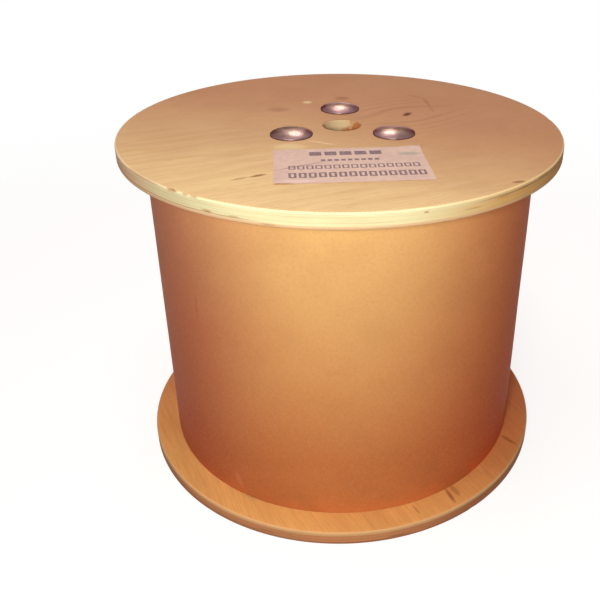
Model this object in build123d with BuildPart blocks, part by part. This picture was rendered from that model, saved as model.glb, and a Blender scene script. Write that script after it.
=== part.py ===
"""A small plywood cable drum, full of cable and wrapped, standing on one flange.

Millimetres, +Z up. The origin is the centre of the lower flange's underside, on the
drum's axis, and the front of the drum, where the label reads upright, is -Y.
"""

import os
from math import degrees

from build123d import *

os.makedirs("parts", exist_ok=True)

# Flanges: two plywood discs with an arbor hole
flange_diameter = 350.0
flange_thickness = 12.0
flange_edge_ease = 1.8  # the bevel turned on every edge of the rims
arbor_hole_diameter = 30.0
traverse = 254.0  # clear width between the flanges

# Barrel: a paperboard tube let into a routed groove in each flange
barrel_diameter = 152.0
barrel_wall = 6.0
groove_depth = 3.0
groove_clearance = 0.3

# Cable, wound on the barrel in full layers
cable_diameter = 7.0
cable_layers = 11
turn_stagger = 3.5  # every other layer ends this much sooner, nested in the last
winding_clearance = 0.3

# Wrap: one sheet of kraft board round the cable, lapped on itself at the back
wrap_thickness = 1.0
wrap_clearance = 0.3
wrap_lap = 45.0
wrap_ramp = 16.0  # how gradually the outer end climbs over the inner one
wrap_seam_angle = 118.0

# Tie bolts: smooth domed heads, square necks, thin nuts sunk into the underside
bolt_count = 3
first_bolt_angle = 92.0
bolt_inset = 24.0  # from the barrel's inner wall in to a bolt's axis
bolt_diameter = 8.0
bolt_hole_clearance = 0.4
head_diameter = 33.0
head_height = 4.5
head_rim = 1.3
neck_width = 8.0
neck_length = 5.0
neck_clearance = 0.2

# Washers and nuts, in round recesses so that the drum stands flat
washer_diameter = 26.0
washer_thickness = 1.6
washer_bore_clearance = 0.4
nut_across_flats = 13.0
nut_height = 4.0
nut_thread_clearance = 0.15
nut_turn = 17.0  # each nut stops at its own angle, this much further round
recess_clearance = 1.0
recess_margin = 0.8  # from the nut's free face to the drum's underside

# Label: paper, stuck on the upper flange between the bolts and the rim
label_width = 108.0
label_height = 68.0
label_thickness = 0.25
label_offset_x = 6.5
label_bolt_shift = 17.0  # towards the bolts from halfway between them and the rim
label_angle = 4.6

# Heights up the drum
inner_face_low = flange_thickness
inner_face_high = flange_thickness + traverse
top_face = inner_face_high + flange_thickness

# Radii out from the axis
barrel_radius = barrel_diameter / 2
barrel_inner_radius = barrel_radius - barrel_wall
winding_inner_radius = barrel_radius + winding_clearance
winding_radius = winding_inner_radius + cable_layers * cable_diameter
wrap_inner_radius = winding_radius + wrap_clearance
wrap_radius = wrap_inner_radius + wrap_thickness
bolt_circle_radius = barrel_inner_radius - bolt_inset
bolt_hole_radius = bolt_diameter / 2 + bolt_hole_clearance

# Depths of the sunk nuts
recess_depth = recess_margin + nut_height + washer_thickness
recess_radius = washer_diameter / 2 + recess_clearance


def bolt_spots():
    """The places of the tie bolts round the axis, each turned to face outwards."""
    return PolarLocations(bolt_circle_radius, bolt_count, first_bolt_angle)


def plywood_disc(underside):
    """A flange blank: eased rim, arbor hole and one round hole for each tie bolt."""
    with BuildPart() as disc:
        with BuildSketch(Plane.XY.offset(underside)):
            Circle(flange_diameter / 2)
        extrude(amount=flange_thickness)
        chamfer(disc.edges(), length=flange_edge_ease)
        with BuildSketch(Plane.XY.offset(underside)):
            Circle(arbor_hole_diameter / 2)
            with bolt_spots():
                Circle(bolt_hole_radius)
        extrude(amount=flange_thickness, mode=Mode.SUBTRACT)
    return disc.part


def barrel_groove():
    """The ring that the barrel's end fits, drawn in the sketch that is open."""
    Circle(barrel_radius + groove_clearance)
    Circle(barrel_inner_radius - groove_clearance, mode=Mode.SUBTRACT)


def finish(piece, name):
    """Label a finished piece and write it out under that name."""
    piece.label = name
    export_step(piece, f"parts/{name}.step")


# Lower flange: groove on its inner face, nut recesses in its underside
with BuildPart() as lower_flange:
    add(plywood_disc(0))
    with BuildSketch(Plane.XY.offset(inner_face_low)):
        barrel_groove()
    extrude(amount=-groove_depth, mode=Mode.SUBTRACT)
    with BuildSketch():
        with bolt_spots():
            Circle(recess_radius)
    extrude(amount=recess_depth, mode=Mode.SUBTRACT)
finish(lower_flange.part, "lower_flange")

# Upper flange: groove on its inner face, square seats for the bolts' necks on top
with BuildPart() as upper_flange:
    add(plywood_disc(inner_face_high))
    with BuildSketch(Plane.XY.offset(inner_face_high)):
        barrel_groove()
    extrude(amount=groove_depth, mode=Mode.SUBTRACT)
    with BuildSketch(Plane.XY.offset(top_face)):
        with bolt_spots():
            Rectangle(neck_width + 2 * neck_clearance, neck_width + 2 * neck_clearance)
    extrude(amount=-(neck_length + neck_clearance), mode=Mode.SUBTRACT)
finish(upper_flange.part, "upper_flange")

# Barrel, standing on the floor of one groove and carrying the floor of the other
with BuildPart() as barrel:
    with BuildSketch(Plane.XY.offset(inner_face_low - groove_depth)):
        Circle(barrel_radius)
        Circle(barrel_inner_radius, mode=Mode.SUBTRACT)
    extrude(amount=traverse + 2 * groove_depth)
finish(barrel.part, "barrel")

# Cable winding, one turned solid: its ends rise and fall from layer to layer
with BuildPart() as cable_winding:
    low_crown = inner_face_low + winding_clearance
    high_crown = inner_face_high - winding_clearance
    layer_radii = [winding_inner_radius + (layer + 0.5) * cable_diameter for layer in range(cable_layers)]
    layer_radii[0] = winding_inner_radius
    layer_radii[-1] = winding_radius
    setbacks = [turn_stagger * (layer % 2) for layer in range(cable_layers)]
    with BuildSketch(Plane.XZ):
        with BuildLine():
            low_end = Polyline([(radius, low_crown + back) for radius, back in zip(layer_radii, setbacks)])
            high_end = Polyline([(radius, high_crown - back) for radius, back in zip(layer_radii, setbacks)])
            Line(low_end @ 0, high_end @ 0)
            Line(low_end @ 1, high_end @ 1)
        make_face()
    revolve(axis=Axis.Z)
finish(cable_winding.part, "cable_winding")

# Wrap: the sheet closes on itself, and its outer end lies over the inner one
with BuildPart() as wrap:
    lap_angle = degrees(wrap_lap / wrap_radius)
    ramp_angle = degrees(wrap_ramp / wrap_radius)
    with BuildSketch(Plane.XY.offset(inner_face_low + wrap_clearance)):
        with BuildLine():
            round_face = CenterArc((0, 0), wrap_radius, wrap_seam_angle, 360 - lap_angle - ramp_angle)
            lap_face = CenterArc(
                (0, 0), wrap_radius + wrap_thickness, wrap_seam_angle - lap_angle, lap_angle
            )
            Line(round_face @ 1, lap_face @ 0)
            Line(lap_face @ 1, round_face @ 0)
        make_face()
        Circle(wrap_inner_radius, mode=Mode.SUBTRACT)
    extrude(amount=traverse - 2 * wrap_clearance)
finish(wrap.part, "wrap")

# Tie bolt, made on the axis: domed head, square neck, shank down into its nut
with BuildPart() as tie_bolt:
    shank_end = recess_margin
    with BuildSketch(Plane.XZ):
        with BuildLine():
            head_radius = head_diameter / 2
            dome_height = head_height - head_rim
            dome_radius = (head_radius**2 + dome_height**2) / (2 * dome_height)
            Line((0, top_face), (head_radius, top_face))
            Line((head_radius, top_face), (head_radius, top_face + head_rim))
            RadiusArc((head_radius, top_face + head_rim), (0, top_face + head_height), -dome_radius)
            Line((0, top_face + head_height), (0, top_face))
        make_face()
    revolve(axis=Axis.Z)
    with BuildSketch(Plane.XY.offset(top_face)):
        Rectangle(neck_width, neck_width)
    extrude(amount=-neck_length)
    with BuildSketch(Plane.XY.offset(shank_end)):
        Circle(bolt_diameter / 2)
    extrude(amount=top_face - shank_end)

# Washer, made on the axis, against the roof of its recess
with BuildPart() as washer:
    with BuildSketch(Plane.XY.offset(recess_depth)):
        Circle(washer_diameter / 2)
        Circle(bolt_diameter / 2 + washer_bore_clearance, mode=Mode.SUBTRACT)
    extrude(amount=-washer_thickness)

# Thin nut, made on the axis, run up against the washer
with BuildPart() as nut:
    with BuildSketch(Plane.XY.offset(recess_margin)):
        RegularPolygon(nut_across_flats / 2, 6, major_radius=False)
        Circle(bolt_diameter / 2 + nut_thread_clearance, mode=Mode.SUBTRACT)
    extrude(amount=nut_height)

# One bolt, washer and nut at each place round the axis
for number, spot in enumerate(bolt_spots(), start=1):
    finish(spot * tie_bolt.part, f"tie_bolt_{number}")
    finish(spot * washer.part, f"washer_{number}")
    finish(spot * Rot(0, 0, number * nut_turn) * nut.part, f"nut_{number}")

# Label, flat on the upper flange, a little askew
with BuildPart() as label:
    heads_front_y = min(spot.position.Y for spot in bolt_spots()) - head_diameter / 2
    label_offset_y = (heads_front_y - flange_diameter / 2) / 2 + label_bolt_shift
    with BuildSketch(Plane.XY.offset(top_face)):
        with Locations(Location((label_offset_x, label_offset_y), label_angle)):
            Rectangle(label_width, label_height)
    extrude(amount=label_thickness)
finish(label.part, "label")
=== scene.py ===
from math import cos, hypot, pi, radians, sin

import bpy
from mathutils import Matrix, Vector


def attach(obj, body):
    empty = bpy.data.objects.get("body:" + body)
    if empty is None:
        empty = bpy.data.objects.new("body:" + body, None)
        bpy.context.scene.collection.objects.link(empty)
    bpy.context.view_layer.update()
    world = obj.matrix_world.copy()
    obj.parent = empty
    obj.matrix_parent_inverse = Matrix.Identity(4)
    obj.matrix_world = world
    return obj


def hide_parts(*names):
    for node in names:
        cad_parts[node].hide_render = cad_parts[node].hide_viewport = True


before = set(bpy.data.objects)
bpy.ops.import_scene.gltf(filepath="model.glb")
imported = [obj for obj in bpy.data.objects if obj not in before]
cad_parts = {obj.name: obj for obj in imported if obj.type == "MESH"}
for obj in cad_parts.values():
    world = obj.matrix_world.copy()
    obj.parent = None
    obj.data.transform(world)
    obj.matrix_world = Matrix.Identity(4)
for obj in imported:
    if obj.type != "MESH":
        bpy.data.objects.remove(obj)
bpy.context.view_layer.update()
print("frame loaded")


# Small tools used all through the file

def takeOnly(piece):
    bpy.ops.object.select_all(action="DESELECT")
    piece.select_set(True)
    bpy.context.view_layer.objects.active = piece


def startPiece(addShape, name, scale=(1, 1, 1), **shape):
    bpy.ops.object.select_all(action="DESELECT")
    addShape(**shape)
    piece = bpy.context.object
    piece.name = name
    piece.data.name = name
    piece.scale = scale
    bpy.ops.object.transform_apply(location=True, rotation=True, scale=True)
    return piece


def choose(piece, kind, test):  # leaves the piece in edit mode with only what passes the test selected
    takeOnly(piece)
    bpy.ops.object.mode_set(mode="EDIT")
    bpy.ops.mesh.select_mode(type=kind)
    bpy.ops.mesh.select_all(action="DESELECT")
    bpy.ops.object.mode_set(mode="OBJECT")
    mesh = piece.data
    if kind == "VERT":
        for point in mesh.vertices:
            point.select = test(point.co)
    elif kind == "EDGE":
        for edge in mesh.edges:
            ends = [mesh.vertices[i].co for i in edge.vertices]
            edge.select = test(ends[0]) and test(ends[1])
    else:
        for face in mesh.polygons:
            face.select = test(face)
    bpy.ops.object.mode_set(mode="EDIT")


def leaveEdit():
    bpy.ops.object.mode_set(mode="OBJECT")


def fromAxis(point):
    return hypot(point.x, point.y)


def atAngle(degrees, radius, height):  # 0 is the front, and the angle grows towards +X
    turn = radians(degrees)
    return Vector((radius * sin(turn), -radius * cos(turn), height))


def applyModifier(piece, kind, **settings):
    takeOnly(piece)
    modifier = piece.modifiers.new(kind.lower(), kind)
    for name, value in settings.items():
        setattr(modifier, name, value)
    bpy.ops.object.modifier_apply(modifier=modifier.name)


def cutAway(piece, cutter):
    applyModifier(piece, "BOOLEAN", operation="DIFFERENCE", solver="MANIFOLD", object=cutter)
    bpy.data.objects.remove(cutter)


def joinPieces(pieces):
    takeOnly(pieces[0])
    for piece in pieces:
        piece.select_set(True)
    bpy.ops.object.join()
    return bpy.context.object


def cleanNormals(piece):
    takeOnly(piece)
    bpy.ops.object.mode_set(mode="EDIT")
    bpy.ops.mesh.select_all(action="SELECT")
    bpy.ops.mesh.remove_doubles(threshold=0.000002)
    bpy.ops.mesh.normals_make_consistent(inside=False)
    bpy.ops.object.mode_set(mode="OBJECT")


def smoothOver(piece, degrees):
    takeOnly(piece)
    bpy.ops.object.shade_smooth_by_angle(angle=radians(degrees))


def handOver(piece, node, slotName, *finishes):
    piece.data.materials.clear()
    for finish in finishes:
        piece.data.materials.append(finish)
    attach(piece, "root")
    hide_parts(node)


def dressSolid(node, finish):  # a solid that stays as it is, with only its finish changed
    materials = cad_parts[node].data.materials
    materials.clear()
    materials.append(finish)


def copyTo(piece, name, place, turn=0):  # a copy with its own mesh, its place put into the mesh
    takeOnly(piece)
    bpy.ops.object.duplicate(linked=False)
    other = bpy.context.object
    other.name = name
    other.data.name = name
    other.rotation_euler = (0, 0, radians(turn))
    other.location = place
    bpy.ops.object.transform_apply(location=True, rotation=True, scale=True)
    return other


# Shader tools

def put(tree, kind, settings=None, **values):
    node = tree.nodes.new("ShaderNode" + kind)
    for name, value in (settings or {}).items():
        setattr(node, name, value)
    for name, value in values.items():
        socket = node.inputs[name.replace("_", " ")]
        if isinstance(value, bpy.types.NodeSocket):
            tree.links.new(value, socket)
        else:
            socket.default_value = value
    return node


def feed(tree, node, values):
    for index, value in values.items():
        if isinstance(value, bpy.types.NodeSocket):
            tree.links.new(value, node.inputs[index])
        else:
            node.inputs[index].default_value = value


def calc(tree, operation, *values, clamp=False):
    node = put(tree, "Math", {"operation": operation, "use_clamp": clamp})
    feed(tree, node, dict(enumerate(values)))
    return node.outputs[0]


def vectorCalc(tree, operation, *values):
    node = put(tree, "VectorMath", {"operation": operation})
    feed(tree, node, dict(enumerate(values)))
    return node.outputs["Value" if operation in ("LENGTH", "DISTANCE", "DOT_PRODUCT") else "Vector"]


def scaled(tree, vector, x, y, z):
    return vectorCalc(tree, "MULTIPLY", vector, (x, y, z))


def noise(tree, vector, scale, detail=4, rough=0.5, warp=0):
    return put(tree, "TexNoise", Vector=vector, Scale=scale, Detail=detail, Roughness=rough,
               Distortion=warp).outputs["Fac"]


def spread(tree, value, low, high, newLow=0, newHigh=1, soft=True):
    way = {"interpolation_type": "SMOOTHSTEP" if soft else "LINEAR"}
    node = put(tree, "MapRange", way)
    feed(tree, node, {0: value, 1: low, 2: high, 3: newLow, 4: newHigh})
    return node.outputs[0]


def mixColour(tree, amount, first, second, blend="MIX"):
    node = put(tree, "Mix", {"data_type": "RGBA", "blend_type": blend})
    feed(tree, node, {0: amount, 6: first, 7: second})
    return node.outputs[2]


def seenDirectly(tree):  # 1 where a lens or a reflection looks at a surface, 0 where it only throws light
    seen = put(tree, "LightPath").outputs
    looked = calc(tree, "ADD", seen["Is Camera Ray"], seen["Is Glossy Ray"])
    return calc(tree, "ADD", looked, seen["Is Transmission Ray"], clamp=True)


def aboutZ(tree, vector, angle, back=False):
    way = {"rotation_type": "Z_AXIS", "invert": back}
    return put(tree, "VectorRotate", way, Vector=vector, Angle=angle).outputs[0]


def axis(tree, vector, which):
    return put(tree, "SeparateXYZ", Vector=vector).outputs[which]


def colour(red, green, blue):  # screen values 0 to 255, as a colour picker shows them
    def linear(value):
        value /= 255
        return value / 12.92 if value <= 0.04045 else ((value + 0.055) / 1.055) ** 2.4
    return (linear(red), linear(green), linear(blue), 1)


def newGroup(name, inputs, outputs):
    group = bpy.data.node_groups.new(name, "ShaderNodeTree")
    kinds = {"v": "NodeSocketVector", "f": "NodeSocketFloat"}
    for socketName, kind in inputs:
        group.interface.new_socket(socketName, in_out="INPUT", socket_type=kinds[kind])
    for socketName, kind in outputs:
        group.interface.new_socket(socketName, in_out="OUTPUT", socket_type=kinds[kind])
    return group, group.nodes.new("NodeGroupInput").outputs, group.nodes.new("NodeGroupOutput").inputs


def useGroup(tree, group, **values):
    node = put(tree, "Group", {"node_tree": group}, **values)
    return node.outputs


def newMaterial(name):
    material = bpy.data.materials.new(name)
    material.use_nodes = True
    tree = material.node_tree
    shader = tree.nodes["Principled BSDF"]
    place = tree.nodes.new("ShaderNodeTexCoord").outputs["Object"]
    return material, tree, shader, place


def finishMaterial(tree, shader, baseColour, roughness, height, depth, strength):
    bump = put(tree, "Bump", Strength=strength, Distance=depth, Height=height)
    feed(tree, shader, {"Base Color": baseColour, "Roughness": roughness, "Normal": bump.outputs["Normal"]})


# Node group: wood fibre that runs along X and flows round a knot
woodGrain, given, result = newGroup(
    "woodGrain",
    [("Vector", "v"), ("Knot", "v"), ("Knot Reach", "f"), ("Offset", "v")],
    [("Bands", "f"), ("Fibres", "f"), ("Pores", "f"), ("Rings", "f")])
tree = woodGrain
fromKnot = vectorCalc(tree, "SUBTRACT", given["Vector"], given["Knot"])
flat = scaled(tree, fromKnot, 0.75, 1, 0)
away = calc(tree, "DIVIDE", vectorCalc(tree, "LENGTH", flat), given["Knot Reach"])
fading = calc(tree, "EXPONENT", calc(tree, "MULTIPLY", calc(tree, "MULTIPLY", away, away), -1))
pushed = calc(tree, "SUBTRACT", 1, fading)
parts = put(tree, "SeparateXYZ", Vector=fromKnot).outputs
line = put(tree, "CombineXYZ", X=parts["X"], Y=calc(tree, "MULTIPLY", parts["Y"], pushed), Z=parts["Z"])
line = vectorCalc(tree, "ADD", line.outputs[0], given["Offset"])
slow = put(tree, "TexNoise", Vector=scaled(tree, line, 5, 9, 9), Scale=1, Detail=2).outputs["Color"]
line = vectorCalc(tree, "ADD", line, scaled(tree, slow, 0, 0.022, 0))
bands = noise(tree, scaled(tree, line, 14, 130, 130), 1, 3, 0.55)
fibres = noise(tree, scaled(tree, line, 38, 900, 900), 1, 4, 0.65)
pores = noise(tree, scaled(tree, line, 85, 1500, 1500), 1, 2, 0.5)
rings = put(tree, "TexWave", {"wave_type": "BANDS", "bands_direction": "Y"},
            Vector=scaled(tree, line, 0.4, 1, 1), Scale=26, Distortion=2.5, Detail=3, Detail_Scale=1.5)
tree.links.new(spread(tree, bands, 0.35, 0.68), result["Bands"])
tree.links.new(fibres, result["Fibres"])
tree.links.new(spread(tree, pores, 0.62, 0.74), result["Pores"])
tree.links.new(rings.outputs["Fac"], result["Rings"])

# Node group: one soft-edged mark, such as a smudge, dent or streak, at its own place
softMark, given, result = newGroup(
    "softMark",
    [("Vector", "v"), ("Centre", "v"), ("Reach", "v"), ("Turn", "f"), ("Ragged", "f")],
    [("Mask", "f")])
tree = softMark
local = vectorCalc(tree, "SUBTRACT", given["Vector"], given["Centre"])
local = aboutZ(tree, local, given["Turn"], back=True)
local = vectorCalc(tree, "DIVIDE", local, given["Reach"])
ragged = put(tree, "TexNoise", Vector=given["Vector"], Scale=420, Detail=3, Roughness=0.6).outputs["Color"]
ragged = vectorCalc(tree, "SUBTRACT", ragged, (0.5, 0.5, 0.5))
ragged = put(tree, "VectorMath", {"operation": "SCALE"}, Scale=given["Ragged"], Vector=ragged).outputs[0]
away = vectorCalc(tree, "LENGTH", scaled(tree, vectorCalc(tree, "ADD", local, ragged), 1, 1, 0))
tree.links.new(spread(tree, away, 1.15, 0.35), result["Mask"])


def markAt(tree, vector, centre, reach, turn, strength, ragged):
    mask = useGroup(tree, softMark, Vector=vector, Centre=(*centre, 0), Reach=(*reach, 1),
                    Turn=radians(turn), Ragged=ragged)["Mask"]
    return calc(tree, "MULTIPLY", mask, strength)


# Node group: the drum's side rolled out flat, as arc length and height in metres
rollOut, given, result = newGroup(
    "rollOut", [("Vector", "v"), ("Radius", "f")], [("Flat", "v"), ("Angle", "f"), ("Out", "f")])
tree = rollOut
fromBack = radians(28)  # the pattern is cut here, at the wrap's free edge
turned = aboutZ(tree, given["Vector"], -fromBack)
parts = put(tree, "SeparateXYZ", Vector=turned).outputs
angle = calc(tree, "ARCTAN2", parts["X"], calc(tree, "MULTIPLY", parts["Y"], -1))
angle = calc(tree, "ADD", angle, fromBack)
flat = put(tree, "CombineXYZ", X=calc(tree, "MULTIPLY", angle, given["Radius"]), Y=parts["Z"])
tree.links.new(flat.outputs[0], result["Flat"])
tree.links.new(angle, result["Angle"])
outward = vectorCalc(tree, "LENGTH", scaled(tree, given["Vector"], 1, 1, 0))
tree.links.new(outward, result["Out"])

# Node group: pulp, for paper and board, with mottling and short fibres
pulp, given, result = newGroup(
    "pulp", [("Vector", "v"), ("Coarse", "f")], [("Mottle", "f"), ("Fibres", "f"), ("Height", "f")])
tree = pulp
coarse = noise(tree, given["Vector"], given["Coarse"], 5, 0.62)
along = noise(tree, scaled(tree, given["Vector"], 260, 1500, 260), 1, 3, 0.6, 0.6)
across = noise(tree, scaled(tree, given["Vector"], 1400, 300, 1400), 1, 2, 0.6, 0.6)
fibres = calc(tree, "MULTIPLY", calc(tree, "ADD", along, across), 0.5)
tree.links.new(coarse, result["Mottle"])
tree.links.new(spread(tree, fibres, 0.4, 0.62), result["Fibres"])
height = calc(tree, "MULTIPLY_ADD", coarse, 0.6, calc(tree, "MULTIPLY", fibres, 0.4))
tree.links.new(height, result["Height"])

# Node group: handling, as dull patches and fine scratches
handling, given, result = newGroup(
    "handling", [("Vector", "v"), ("Size", "f")], [("Patches", "f"), ("Scratches", "f")])
tree = handling
patches = noise(tree, given["Vector"], given["Size"], 4, 0.6)
lines = noise(tree, scaled(tree, aboutZ(tree, given["Vector"], 0.5), 30, 1100, 1100), 1, 1, 0.4, 0.3)
crossing = noise(tree, scaled(tree, aboutZ(tree, given["Vector"], -1.1), 24, 900, 900), 1, 1, 0.4, 0.3)
lines = calc(tree, "MAXIMUM", spread(tree, lines, 0.7, 0.76), spread(tree, crossing, 0.71, 0.77))
tree.links.new(spread(tree, patches, 0.42, 0.66), result["Patches"])
tree.links.new(lines, result["Scratches"])
print("node groups ready")


# Camera, at the photograph's viewing angle
view = {
    "place": (0, -0.5848, 0.4585),
    "turn": (62.490, -0.691, -2.035),
    "lens": 44.87,
    "shift": (-0.1172, -0.0632),
}
bpy.ops.object.camera_add(location=view["place"], rotation=[radians(a) for a in view["turn"]])
camera = bpy.context.object
camera.data.lens = view["lens"]
camera.data.shift_x, camera.data.shift_y = view["shift"]
camera.data.clip_start = 0.01
bpy.context.scene.camera = camera

# Floor: pale, white to the eye outside the drum's own shadow
floorValues = {
    "size": 14, "drop": 0.0002, "pale": (0.3, 0.27, 0.255, 1), "glow": 0.84, "near": 0.3, "far": 1.1,
}
floor = startPiece(
    bpy.ops.mesh.primitive_plane_add, "floor", size=floorValues["size"],
    location=(0, 0, -floorValues["drop"]))
material, tree, shader, place = newMaterial("paleFloor")
seen = seenDirectly(tree)
farAway = spread(tree, vectorCalc(tree, "LENGTH", place), floorValues["near"], floorValues["far"])
level = spread(tree, farAway, 0, 1, floorValues["glow"], 1, soft=False)
feed(tree, shader, {
    "Base Color": mixColour(tree, calc(tree, "MULTIPLY", farAway, seen), floorValues["pale"], (0, 0, 0, 1)),
    "Roughness": 0.9, "Specular IOR Level": 0.0, "Emission Color": (1, 1, 1, 1),
    "Emission Strength": calc(tree, "MULTIPLY", level, seen)})
floor.data.materials.append(material)

# World: white behind the drum, a soft fill on it
worldValues = {"fill": (1.0, 0.72, 0.65, 1), "fillStrength": 0.11}
world = bpy.data.worlds.new("studio")
bpy.context.scene.world = world
world.use_nodes = True
tree = world.node_tree
tree.nodes.clear()
seen = seenDirectly(tree)
soft = put(tree, "Background", Color=worldValues["fill"], Strength=worldValues["fillStrength"])
white = put(tree, "Background", Color=(1, 1, 1, 1), Strength=1)
both = put(tree, "MixShader")
feed(tree, both, {0: seen, 1: soft.outputs[0], 2: white.outputs[0]})
tree.links.new(both.outputs[0], put(tree, "OutputWorld").inputs["Surface"])

# Lamps: one beside the lens, one broad overhead, one that shows in the steel, and one for the back
lamps = {
    "front": {"place": (-0.05, -0.60, 0.44), "aim": (0, -0.1, 0.18), "size": 0.14, "watts": 2.15,
              "tint": (1.0, 0.985, 0.88)},
    "overhead": {"place": (-0.12, -0.12, 1.25), "aim": (0, 0, 0.25), "size": 0.6, "watts": 5.9,
                 "tint": (1.0, 0.94, 0.88)},
    "behind": {"place": (-0.004, 0.86, 1.03), "aim": (0, 0, 0.28), "size": 0.2, "watts": 3.2,
               "tint": (0.95, 1.0, 1.0)},
    "rear": {"place": (0.1, 1.15, 0.13), "aim": (0, 0, 0.14), "size": 0.5, "watts": 5.5,
             "tint": (1.0, 0.95, 0.9)},
}
for lampName, lamp in lamps.items():
    direction = Vector(lamp["aim"]) - Vector(lamp["place"])
    facing = direction.to_track_quat("-Z", "Y").to_euler()
    bpy.ops.object.light_add(type="AREA", location=lamp["place"], rotation=facing)
    light = bpy.context.object
    light.name = lampName
    light.data.shape = "DISK"
    light.data.size = lamp["size"]
    light.data.energy = lamp["watts"]
    light.data.color = lamp["tint"]
    light.visible_diffuse = lampName != "behind"  # that one is only for the shine on the bolt heads
bpy.context.scene.view_settings.view_transform = "Standard"
print("camera, floor and lamps ready")


# Flanges: plywood discs with eased rims
flange = {
    "radius": 0.175, "thickness": 0.012, "steps": 360, "ease": 0.0018, "easeSteps": 4,
    "easeShown": 0.00144, "easeSlope": 0.8, "edgeBand": 0.0045,
    "arbor": 0.015, "arborEase": 0.0006, "arborBand": 0.003, "groove": (0.0763, 0.0697), "grooveDepth": 0.003,
    "boltCircle": 0.046, "boltAngles": (-178, -58, 62),  # from the front, towards +X
    "boltHole": 0.0044, "seat": 0.0084, "seatDepth": 0.0052,
    "recess": 0.014, "recessDepth": 0.0064, "overshoot": 0.001,
}
upperUnderside = 0.266
topFace = upperUnderside + flange["thickness"]
slack = 0.0004  # how far from a radius a point may be and still count as on it
fine = 0.0001  # the same for heights
flatNormal = 0.9  # a face whose normal has more Z than this lies flat
boltSpots = [atAngle(angle, flange["boltCircle"], 0) for angle in flange["boltAngles"]]
# Dents broken out of the rims: angle, height, length, depth, drop
upperChips = [
    (-38.6, 0.2779, 0.0105, 0.0012, 0.0014), (-34.6, 0.2779, 0.0060, 0.0011, 0.0010),
    (-32.2, 0.2780, 0.0070, 0.0009, 0.0012), (-28.9, 0.2700, 0.0075, 0.0006, 0.0006),
    (23.8, 0.2662, 0.0090, 0.0010, 0.0007), (27.5, 0.2661, 0.0050, 0.0012, 0.0007),
    (96.0, 0.2779, 0.0080, 0.0012, 0.0012), (151.0, 0.2662, 0.0110, 0.0013, 0.0010),
    (-124.0, 0.2779, 0.0065, 0.0012, 0.0010), (-82.0, 0.2662, 0.0070, 0.0010, 0.0009),
]
lowerChips = [
    (-9.0, 0.0118, 0.0070, 0.0008, 0.0008), (37.0, 0.0003, 0.0100, 0.0014, 0.0010),
    (-61.0, 0.0119, 0.0060, 0.0011, 0.0009), (118.0, 0.0002, 0.0120, 0.0015, 0.0012),
    (-140.0, 0.0118, 0.0080, 0.0012, 0.0010), (171.0, 0.0002, 0.0080, 0.0012, 0.0009),
]


def onFace(point, underside):  # on the disc's upper or lower face
    return min(abs(point.z - underside), abs(point.z - underside - flange["thickness"])) < fine


def turnedDisc(name, underside, innerSide):
    disc = startPiece(
        bpy.ops.mesh.primitive_cylinder_add, name, vertices=flange["steps"], radius=flange["radius"],
        depth=flange["thickness"], location=(0, 0, underside + flange["thickness"] / 2))
    rims = [flange["radius"] - flange["edgeBand"], *flange["groove"],
            flange["arbor"] + flange["arborBand"], flange["arbor"]]
    for side in (1, -1):
        choose(disc, "FACE", lambda face: face.normal.z * side > flatNormal)
        reach = flange["radius"]
        for rim in rims:
            bpy.ops.mesh.inset(thickness=reach - rim, depth=0)
            reach = rim
        bpy.ops.mesh.delete(type="FACE")
        leaveEdit()
    choose(disc, "EDGE", lambda point: fromAxis(point) < flange["arbor"] + slack)
    bpy.ops.mesh.bridge_edge_loops()
    leaveEdit()
    outer, inner = flange["groove"]
    choose(disc, "FACE", lambda face: face.normal.z * innerSide > flatNormal
           and inner < fromAxis(face.center) < outer)
    bpy.ops.mesh.extrude_region_move(
        TRANSFORM_OT_translate={"value": (0, 0, -innerSide * flange["grooveDepth"])})
    leaveEdit()
    choose(disc, "EDGE", lambda point: fromAxis(point) > flange["radius"] - slack
           and onFace(point, underside))
    bpy.ops.mesh.bevel(offset=flange["ease"], segments=flange["easeSteps"], profile=0.5, affect="EDGES")
    leaveEdit()
    cleanNormals(disc)
    return disc


def easeArbor(disc, underside):
    choose(disc, "EDGE", lambda point: fromAxis(point) < flange["arbor"] + slack
           and onFace(point, underside))
    leaveEdit()
    # the walls' upright edges join the two mouths, so only edges that lie level stay chosen
    for edge in disc.data.edges:
        low, high = (disc.data.vertices[i].co.z for i in edge.vertices)
        edge.select = edge.select and abs(low - high) < fine
    bpy.ops.object.mode_set(mode="EDIT")
    bpy.ops.mesh.bevel(offset=flange["arborEase"], segments=2, profile=0.5, affect="EDGES")
    leaveEdit()


def drill(disc, radius, low, high):
    for spot in boltSpots:
        cutter = startPiece(
            bpy.ops.mesh.primitive_cylinder_add, "cutter", vertices=48, radius=radius,
            depth=high - low, location=(spot.x, spot.y, (low + high) / 2))
        cutAway(disc, cutter)


def breakOut(disc, chips):
    for angle, height, length, depth, drop in chips:
        cutter = startPiece(
            bpy.ops.mesh.primitive_ico_sphere_add, "cutter", subdivisions=2, radius=1,
            location=atAngle(angle, flange["radius"], height), rotation=(0.2, 0.1, radians(angle)),
            scale=(length / 2, depth, drop))
        cutAway(disc, cutter)


def paintRim(disc):  # the second finish goes on the cut edges
    for face in disc.data.polygons:
        outside = fromAxis(face.center) > flange["radius"] - flange["easeShown"]
        face.material_index = 1 if outside or abs(face.normal.z) < flange["easeSlope"] else 0


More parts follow.
